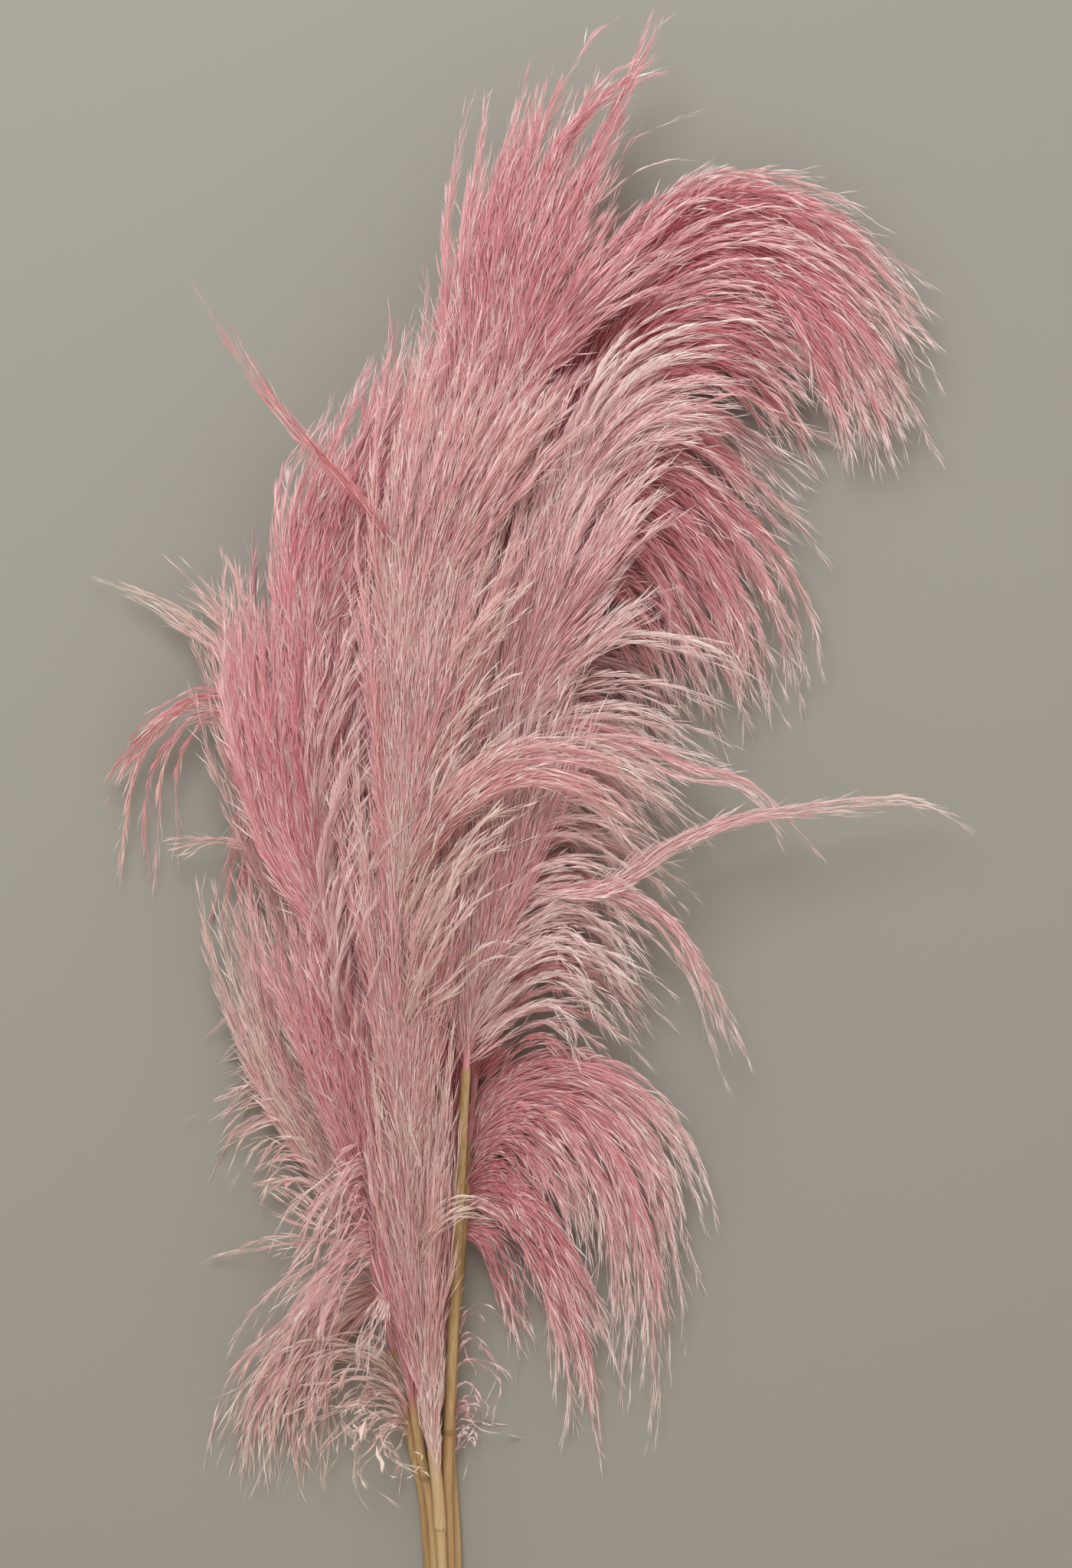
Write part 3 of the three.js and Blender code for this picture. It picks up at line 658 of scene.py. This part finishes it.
def fanTresses(fan, stemLine, random):
    # A tress keeps its place between two guides, strays sideways and upwards as it goes, starts a
    # little late and ends a little short, and is pulled to the stem where it starts.
    ways = {**tress, **fan}
    shares = np.linspace(0, 1, tress["stations"])
    curves = [curveThrough(onSheet(guide), tress["guideStations"]) for guide in fan["guides"]]
    guides = np.stack([evenly(curve, shares) for curve in curves])
    guides[:, :, 2] = np.interp(shares, np.linspace(0, 1, len(fan["height"])), fan["height"]) * mm
    count = round(fan["count"] * tress["more"])
    last = len(guides) - 1
    spot = (np.arange(count) + 0.5) / count * last + random.normal(0, tress["jitter"], count)
    spot = np.clip(spot, 0, last)
    lower = np.minimum(spot.astype(int), max(last - 1, 0))
    upper = np.minimum(lower + 1, last)
    lines = lerp(guides[lower], guides[upper], (spot - lower)[:, None, None])
    reach = random.uniform(tress["shortest"], 1, (count, 1))
    start = random.uniform(0, ways["late"], (count, 1))
    which = np.repeat(np.arange(count), tress["stations"])
    lines = sampled(lines, which, lerp(start, reach, shares).ravel()).reshape(count, -1, 3)
    side = unit(np.cross(tangentsOf(lines), upward))
    stray = random.normal(0, ways["spread"] * mm, (2, count, 1, 1))
    grown = lerp(tress["rootShare"], 1, shares)[:, None]
    turned = random.uniform(-1, 1, (count, 1, 1)) * np.radians(ways["splay"])
    gone = (lineLength(lines)[:, None] * shares)[..., None]
    lines = lines + side * (stray[0] * grown + np.tan(turned) * gone)
    lines = lines + upward * stray[1] * grown * tress["depth"]
    apart = np.linalg.norm(lines[:, :1] - stemLine[None], axis=2)
    pull = stemLine[apart.argmin(axis=1)] - lines[:, 0]
    return lines + pull[:, None] * ((1 - shares) ** tress["pull"])[:, None]


def swayed(lines, wave, random):
    # Adds to each line two slow waves, level and upright, that grow from nothing at its root.
    count, stations = lines.shape[:2]
    t = np.linspace(0, 1, stations)[None, :]
    tangent = tangentsOf(lines)
    side = unit(np.cross(tangent, upward))
    rise = np.cross(side, tangent)
    size = wave[:, None] * mm * t
    waves = []
    for _ in range(2):
        beat = random.uniform(*tress["beats"], (count, 1))
        phase = random.uniform(0, 2 * np.pi, (count, 1))
        waves.append(size * (np.sin(2 * np.pi * beat * t + phase) - np.sin(phase)))
    return lines + side * waves[0][..., None] + tress["waveLift"] * rise * waves[1][..., None]


def landed(points):
    # Lets nothing sink into the surface: below the soft level, heights shrink towards the lowest one.
    lowest = landing["lowest"] * mm
    soft = landing["soft"] * mm
    room = soft - lowest
    height = points[..., 2]
    eased = lowest + room * np.exp((np.minimum(height, soft) - soft) / room)
    points[..., 2] = np.where(height < soft, eased, height)
    return points


def inChart(tone):
    # Tones kept a little inside the map's edges.
    return np.clip(tone, chart["margin"], 1 - chart["margin"])


def leanFrom(tangent, radial, angle):
    # tangent cos angle + radial sin angle
    return unit(tangent * np.cos(angle)[:, None] + radial * np.sin(angle)[:, None])


def hairsOn(lines, tone, bulk, hair, look, random):
    # A hair is a folded blade: a root, the two edges of its bend and a tip. It leaves its tress at an
    # angle in any direction round it, flat side outwards, and turns to run beside it:
    # bend = root + start long / 2, tip = bend + finish long / 2. It is shorter where its tress bends
    # hard: long is scaled by the root of deepest / fold.
    lengths = lineLength(lines)
    counts = (lengths * hair["perMetre"] * bulk).astype(int) + hairForm["fewest"]
    which = np.repeat(np.arange(len(lines)), counts)
    total = len(which)
    share = random.beta(1, hairForm["crowding"], total)
    reach = hair["bulk"] * mm * bulk[which] * (1 - share) ** hairForm["narrowing"]
    away = (reach * np.sqrt(random.uniform(0, 1, total)))[:, None]
    turn = random.uniform(0, 2 * np.pi, total)
    lean = np.radians(hair["lean"]) * random.uniform(*hairForm["leans"], total) * np.sqrt(bulk[which])
    long = hair["length"] * mm * random.uniform(*hairForm["lengths"], total)
    long *= lerp(1, hair["tipShare"], share)
    tangent = tangentsOf(lines)
    near = unit(sampled(tangent, which, share))
    far = unit(sampled(tangent, which, share + hairForm["ahead"] * long / lengths[which]))
    fold = hairForm["fold"] * long * np.linalg.norm(far - near, axis=1)
    long *= np.sqrt(hair["deepest"] * mm / np.maximum(fold, hair["deepest"] * mm))
    far = unit(sampled(tangent, which, share + hairForm["ahead"] * long / lengths[which]))
    side = unit(np.cross(near, upward))
    radial = side * np.cos(turn)[:, None] + np.cross(side, near) * np.sin(turn)[:, None]
    root = sampled(lines, which, share) + radial * away
    start = leanFrom(near, radial, lean)
    finish = leanFrom(far, radial, lean * hair["curl"])
    half = (long / 2)[:, None]
    bend = root + start * half
    tip = bend + finish * half
    width = (hair["radius"] * mm * random.uniform(*hairForm["widths"], total))[:, None]
    edge = np.cross(near, radial) * width
    points = np.stack([root, bend + edge, bend - edge, tip], axis=1)
    triangles = np.array(hairForm["faces"])[None] + points.shape[1] * np.arange(total)[:, None, None]
    inward = np.einsum("ij,ij->i", np.cross(2 * edge, points[:, 2] - root), tip - root) < 0
    triangles[inward] = triangles[inward][:, :, ::-1]
    shade = tone[which] + hair["tone"] + random.normal(0, look["hairTone"], total)
    shade = shade + look["tipTone"] * share ** look["tipPower"]
    uv = np.empty((*points.shape[:2], 2))
    uv[:, :, 0] = chart["hair"]
    uv[:, :, 1] = inChart(shade)[:, None] + np.array(hairForm["edges"]) * chart["edge"]
    return points.reshape(-1, 3), triangles.reshape(-1, 3), uv.reshape(-1, 2)


def branchesOf(lines, tone, bulk):
    # Thin tapering tubes for the tresses' own branches, thinner where the tress is.
    lines = lines[:, ::tress["branchStep"]]
    stations = lines.shape[1]
    sides = tress["sides"]
    radii = np.linspace(tress["rootRadius"], tress["tipRadius"], stations) * mm
    radii = np.tile(radii[:, None] * np.sqrt(bulk)[:, None, None], (1, 1, sides))
    points, triangles = tubes(lines, tangentsOf(lines), radii)
    first, last = chart["branch"]
    along = np.repeat(np.linspace(first, last, stations), sides)
    around = np.tile(np.arange(sides) * chart["edge"], stations)
    uv = np.empty((len(lines), len(along) + 2, 2))
    uv[:, :, 0] = np.concatenate([along, [first / 2, last + first]])
    uv[:, :, 1] = inChart(tone)[:, None] + np.concatenate([around, [0, 0]])
    return points, triangles, uv.reshape(-1, 2)


rachisForm = {"rootRadius": 2.0, "tipRadius": 0.7, "stations": 60, "sides": 8, "tone": 0.4, "uneven": 0.01}


def rachisOf(panicle, random):
    # One tapering tube along the panicle, in a slightly uneven tone.
    stations = rachisForm["stations"]
    sides = rachisForm["sides"]
    shares = np.linspace(0, 1, stations)
    line = evenly(panicle, shares)[None]
    radii = lerp(rachisForm["rootRadius"], rachisForm["tipRadius"], shares) * mm
    points, triangles = tubes(line, tangentsOf(line), np.tile(radii[None, :, None], (1, 1, sides)))
    spot = np.array([chart["rachis"], rachisForm["tone"]])
    return points, triangles, spot + random.uniform(-1, 1, (len(points), 2)) * rachisForm["uneven"]


def joined(parts):
    # Several (points, triangles, uv) as one.
    points, triangles, maps = zip(*parts)
    offsets = np.cumsum([0] + [len(p) for p in points[:-1]])
    shifted = [t + offset for t, offset in zip(triangles, offsets)]
    return np.concatenate(points), np.concatenate(shifted), np.concatenate(maps)


# Tones run from 0, the deepest dye, to 1, the palest.
plumeLook = {
    "tone": 0.5,
    "tressTone": 0.07,     # how far tresses differ, as a standard deviation
    "hairTone": 0.05,      # the same for hairs
    "tipTone": 0.14,       # how much paler the tips of the tresses are
    "tipPower": 3,         # how late on their length they turn paler
    "roughness": 0.42,
    "specular": 0.3,
}

plumeTones = {
    "pink_plume": [(0.0, paint(194, 98, 108)), (0.35, paint(234, 165, 173)),
                   (0.65, paint(241, 199, 201)), (1.0, paint(250, 236, 232))],
    "cream_plume": [(0.0, paint(206, 118, 124)), (0.35, paint(232, 168, 171)),
                    (0.6, paint(240, 198, 197)), (0.8, paint(236, 214, 204)),
                    (1.0, paint(248, 238, 226))],
}

# Painted shade: hairs are a deeper pink at their roots, deep in the fluff where shade falls, by what their
# colour is multiplied with from root to tip.
paintedRootShade = [(0.0, (1, 0.83, 0.82, 1)), (0.5, (1, 0.95, 0.95, 1)), (1.0, (1, 1, 1, 1))]


def plumeFinish(slot):
    # The tone's colour, multiplied with painted shade that deepens towards the hair roots.
    finish = Finish(slot)
    spot = finish.node("UVMap", {"uv_map": "OFBake"}, {})
    parts = finish.node("SeparateXYZ", {}, {"Vector": spot})
    tone = finish.ramp(parts.out("Y"), plumeTones[slot])
    # painted shade: deeper rose towards each hair's root
    colour = finish.mixed("MULTIPLY", 1.0, tone, finish.ramp(parts, paintedRootShade))
    return finish.set(Base_Color=colour, Roughness=plumeLook["roughness"],
                      Specular_IOR_Level=plumeLook["specular"])


def makePlume(stem, material):
    # Grows the tresses of all fans, then deals them in turn to the stem's parts, a piece for each.
    random = np.random.default_rng(stem["seed"])
    look = {**plumeLook, **stem["look"]}
    whole, _, panicle = stemLines(stem)
    fans = stem["fans"]
    grown = [fanTresses(fan, whole, random) for fan in fans]
    counts = [len(own) for own in grown]
    wave = np.repeat([fan.get("wave", tress["wave"]) for fan in fans], counts)
    lines = landed(swayed(np.concatenate(grown), wave, random))
    bulk = tress["bulk"] * np.repeat([fan["bulk"] for fan in fans], counts)
    tone = np.repeat([look["tone"] + fan["tone"] for fan in fans], counts)
    tone = tone + random.normal(0, look["tressTone"], len(lines))
    parts = stem["parts"]
    for part in range(parts):
        dealt = np.arange(len(lines)) % parts == part
        mine = (lines[dealt], tone[dealt], bulk[dealt])
        pieces = [branchesOf(*mine), hairsOn(*mine, fluff, look, random),
                  hairsOn(*mine, huskAndGlint, look, random)]
        if part == 0:
            pieces.append(rachisOf(panicle, random))
        points, triangles, uv = joined(pieces)
        name = f"plume_{stem['name']}_{part + 1}"
        piece = makePiece(name, landed(points), triangles, material, uv, smooth=False)
        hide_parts("plume_" + stem["name"])


finishes = {slot: plumeFinish(slot) for slot in plumeTones}
print("plume finishes mixed")
for stem in stems:
    makePlume(stem, finishes[stem["slot"]])

culmForm = {
    "cutRadius": 3.3,      # mm
    "neckRadius": 2.5,
    "jointSwell": 0.3,
    "jointHalf": 1.5,      # half the height of a joint's ring
    "waist": 0.14,         # how far a culm draws in above a joint
    "waistRise": 4.5,      # how far above it the waist is
    "waistHalf": 3.0,
    "outOfRound": 0.02,
    "ovalTwist": 60,       # mm along which the oval turns by a radian
    "ridges": 11,
    "ridgeDepth": 0.05,
    "ridgeTwist": 90,
    "pithShare": 0.74,     # radius of the pith at the cut end
    "pithDepth": 0.5,      # mm, how far it has shrunk back
    "pithMiddle": 0.5,     # share of the pith's radius where its ring is
    "rimDepth": 0.05,
    "lip": 0.15,           # between the pith and the cut's inner edge
    "bevel": 0.2,          # of the cut's outer edge
    "step": 1.6,           # mm between rings
    "browned": 300,        # mm from the cut end over which the straw is browner
    "jointGlow": 1.95,     # mm from a joint over which it is browner
    "sides": 30,
    "seedShift": 100,
}

# What is left of the leaf that wrapped the front culm, as distances from its cut end.
sheathForm = {
    "from": 209, "to": 250, "thickness": 0.3, "gap": 0.06, "flare": 0.35, "ragged": 1.9, "teeth": 7,
    "torn": 6, "loose": 3,  # how close the tears keep to its lower edge and the flare to its upper
    "rings": 30, "sides": 60, "seedShift": 200,
}


def skin(line, along, angle, radius):
    # The point at a distance along a line, at an angle round it and a radius from it:
    # centre + radius (side cos angle + rise sin angle), side level and rise square to it and the line.
    reached = distances(line)
    tangent = tangentsOf(line)
    centre = np.stack([np.interp(along, reached, line[:, i]) for i in range(3)], axis=-1)
    heading = unit(np.stack([np.interp(along, reached, tangent[:, i]) for i in range(3)], axis=-1))
    side = unit(np.cross(heading, upward))
    rise = np.cross(side, heading)
    outward = side * np.cos(angle)[..., None] + rise * np.sin(angle)[..., None]
    return centre + outward * radius[..., None]


def culmRadius(along, length, joints):
    # A taper, a round swelling at each joint and a shallow waist above it.
    form = culmForm
    radius = lerp(form["cutRadius"], form["neckRadius"], along / length)
    for joint in joints:
        radius = radius + form["jointSwell"] * np.exp(-((along - joint) / form["jointHalf"]) ** 2)
        above = (along - joint - form["waistRise"]) / form["waistHalf"]
        radius = radius - form["waist"] * np.exp(-above ** 2)
    return radius


def makeCulm(stem, material):
    # Rings from the shrunken pith over the rim and the cut's edge, then along the culm. Each ring is
    # radius (1 + outOfRound cos(2 angle + twist)) + ridgeDepth sin(ridges angle + twist).
    form = culmForm
    random = np.random.default_rng(stem["seed"] + form["seedShift"])
    _, line, _ = stemLines(stem)
    length = distances(line)[-1] / mm
    rings = np.linspace(form["bevel"], length, int(length / form["step"]))
    bare = culmRadius(rings, length, stem["joints"])
    pith = form["pithShare"] * bare[0]
    cutAlong = [form["pithDepth"], form["pithDepth"], form["rimDepth"], 0]
    cutRadius = [pith * form["pithMiddle"], pith, pith + form["lip"], bare[0] - form["bevel"]]
    along = np.concatenate([cutAlong, rings])
    radius = np.concatenate([cutRadius, bare])
    angle = np.arange(form["sides"]) * 2 * np.pi / form["sides"]
    phase = random.uniform(0, 2 * np.pi, 2)
    oval = 1 + form["outOfRound"] * np.cos(2 * angle + phase[0] + along[:, None] / form["ovalTwist"])
    groove = np.sin(form["ridges"] * angle + phase[1] + along[:, None] / form["ridgeTwist"])
    wall = (radius[:, None] * oval + form["ridgeDepth"] * groove * (radius > pith)[:, None]) * mm
    grid = np.broadcast_to(along[:, None], wall.shape) * mm
    shell = skin(line, grid, np.broadcast_to(angle, wall.shape), wall)
    ends = skin(line, grid[[0, -1], 0], np.zeros(2), np.zeros(2))
    points = np.concatenate([shell.reshape(-1, 3), ends])
    nearest = np.abs(along[:, None] - np.array(stem["joints"])).min(axis=1)
    joint = np.exp(-(nearest / form["jointGlow"]) ** 2)
    core = np.arange(len(along)) < len(cutAlong) - 1
    browner = np.clip(1 - along / form["browned"], 0, 1) * stem["browned"]
    marks = {name: np.concatenate([np.repeat(values, form["sides"]), values[[0, -1]]])
             for name, values in (("joint", joint), ("pith", core.astype(float)), ("brown", browner))}
    triangles = tubeFaces(1, len(along), form["sides"])
    piece = makePiece("culm_" + stem["name"] + "_straw", points, triangles, material, marks=marks)
    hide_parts("culm_" + stem["name"])


def makeSheath(stem, material):
    # A rolled shell, open at both ends: outer wall up, inner wall down. Its lower edge is torn in
    # teeth, and it loosens from the culm towards its upper edge.
    form = sheathForm
    random = np.random.default_rng(stem["seed"] + form["seedShift"])
    _, line, _ = stemLines(stem)
    length = distances(line)[-1] / mm
    angle = np.arange(form["sides"]) * 2 * np.pi / form["sides"]
    teeth = np.abs(np.sin(form["teeth"] * angle / 2))
    torn = form["ragged"] * (teeth + random.uniform(0, 1, form["sides"]))
    share = np.linspace(0, 1, form["rings"])[:, None]
    along = lerp(form["from"], form["to"], share) - torn * (1 - share) ** form["torn"]
    inner = culmRadius(along, length, stem["joints"]) + form["gap"]
    inner = inner + form["flare"] * share ** form["loose"]
    outer = inner + form["thickness"]
    loop = np.concatenate([along, along[::-1]])
    radius = np.concatenate([outer, inner[::-1]])
    points = skin(line, loop * mm, np.broadcast_to(angle, loop.shape), radius * mm).reshape(-1, 3)
    ring, side = np.meshgrid(np.arange(len(loop)), np.arange(form["sides"]), indexing="ij")
    following = (ring + 1) % len(loop)
    beside = (side + 1) % form["sides"]
    corners = (ring, side), (ring, beside), (following, beside), (following, side)
    a, b, c, d = (row * form["sides"] + column for row, column in corners)
    triangles = np.concatenate([np.stack([b, a, c], -1), np.stack([c, a, d], -1)]).reshape(-1, 3)
    piece = makePiece("sheath_" + stem["name"], points, triangles, material)
    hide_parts("culm_" + stem["name"])


strawLook = {
    "grain": (900, 36, 900),     # streaks to a metre across and along the culms, which lie along y
    "broad": (70, 11, 70),       # the same for the broad ones
    "grainDetail": 5, "broadDetail": 2,
    "grainShare": 0.62, "broadShare": 0.5, "offset": 0.06,  # streaks = grain + broad - offset
    "brown": paint(182, 122, 84), "brownShare": 0.6,
    "joint": paint(128, 84, 42), "jointShare": 0.7,
    "pith": paint(214, 196, 152),
    "bumpDepth": 0.0004,         # m
    "bumpStrength": 0.3,
    "smoothest": 0.32, "rougher": 0.3,  # roughness = smoothest + rougher grain
}


def strawFinish(name, stops, jointed):
    # Fine streaks over broad ones; joints and the lower ends are browner and the pith paler.
    look = strawLook
    finish = Finish(name)
    grain = finish.noise(look["grain"], look["grainDetail"])
    broad = finish.noise(look["broad"], look["broadDetail"])
    streaks = grain * look["grainShare"] + broad * look["broadShare"] - look["offset"]
    colour = finish.ramp(streaks, stops)
    if jointed:
        brown, joint, pith = (finish.node("Attribute", {"attribute_name": mark}, {}, output="Fac")
                              for mark in ("brown", "joint", "pith"))
        colour = finish.mixed("MIX", brown * look["brownShare"], colour, look["brown"])
        colour = finish.mixed("MIX", joint * look["jointShare"], colour, look["joint"])
        colour = finish.mixed("MIX", pith, colour, look["pith"])
    relief = {"Strength": look["bumpStrength"], "Distance": look["bumpDepth"], "Height": grain}
    bump = finish.node("Bump", {}, relief, output="Normal")
    return finish.set(Base_Color=colour, Roughness=look["smoothest"] + grain * look["rougher"], Normal=bump)


straw = strawFinish("straw", [(0.2, paint(140, 102, 62)), (0.42, paint(176, 140, 92)),
                              (0.6, paint(196, 164, 118)), (0.8, paint(210, 184, 148))], True)
dryLeaf = strawFinish("dryLeaf", [(0.2, paint(160, 118, 78)), (0.45, paint(190, 156, 112)),
                                  (0.65, paint(208, 180, 138)), (0.85, paint(224, 204, 166))], False)
print("straw and dry leaf mixed")
for stem in stems:
    makeCulm(stem, straw)
makeSheath(centreStem, dryLeaf)

studio = {
    "cameraPlace": (0.005, 0.1, 3.0),  # m, straight above the bunch
    "eyeLevel": 0.06,                  # the height at which the picture shows its full measure
    "shownHeight": 0.8192,             # m, from the picture's top to its bottom there
    "farthest": 100,
    "floorSide": 60.0,
    "floorColour": paint(155, 150, 141),
    "floorRoughness": 0.75,
    "windowPlace": (-0.35, 1.15, 1.5), "windowAim": (0, 0.1, 0),
    "windowSize": 1.0, "windowPower": 19, "windowColour": (0.9, 1.0, 1.04),
    "roomColour": (1.0, 0.925, 0.84, 1), "roomStrength": 0.68,
}


def makeFloor():
    half = studio["floorSide"] / 2
    mesh = bpy.data.meshes.new("floor")
    corners = [(-half, -half, 0), (half, -half, 0), (half, half, 0), (-half, half, 0)]
    mesh.from_pydata(corners, [], [(0, 1, 2, 3)])
    finish = Finish("board")
    mesh.materials.append(finish.set(Base_Color=studio["floorColour"], Roughness=studio["floorRoughness"]))
    floor = bpy.data.objects.new("floor", mesh)
    scene.collection.objects.link(floor)


def addWindow():
    # A round lamp turned to its aim: tipped by the angle from upright, then turned to its bearing.
    lamp = bpy.data.lights.new("window", "AREA")
    lamp.shape = "DISK"
    lamp.size = studio["windowSize"]
    lamp.energy = studio["windowPower"]
    lamp.color = studio["windowColour"]
    holder = bpy.data.objects.new("window", lamp)
    x, y, z = np.array(studio["windowPlace"]) - np.array(studio["windowAim"])
    holder.location = studio["windowPlace"]
    holder.rotation_euler = (math.atan2(math.hypot(x, y), z), 0, math.atan2(y, x) + math.pi / 2)
    scene.collection.objects.link(holder)


def lightRoom():
    room = bpy.data.worlds.new("room")
    room.use_nodes = True
    background = room.node_tree.nodes["Background"]
    background.inputs["Color"].default_value = studio["roomColour"]
    background.inputs["Strength"].default_value = studio["roomStrength"]
    scene.world = room


def addCamera():
    camera = bpy.data.cameras.new("camera")
    sight = studio["cameraPlace"][2] - studio["eyeLevel"]
    camera.lens = camera.sensor_width * sight / studio["shownHeight"]
    camera.clip_end = studio["farthest"]
    viewer = bpy.data.objects.new("camera", camera)
    viewer.location = studio["cameraPlace"]
    scene.collection.objects.link(viewer)
    scene.camera = viewer


makeFloor()
addWindow()
lightRoom()
addCamera()
scene.view_settings.view_transform = "Standard"
print("studio set: floor, window, room and camera")
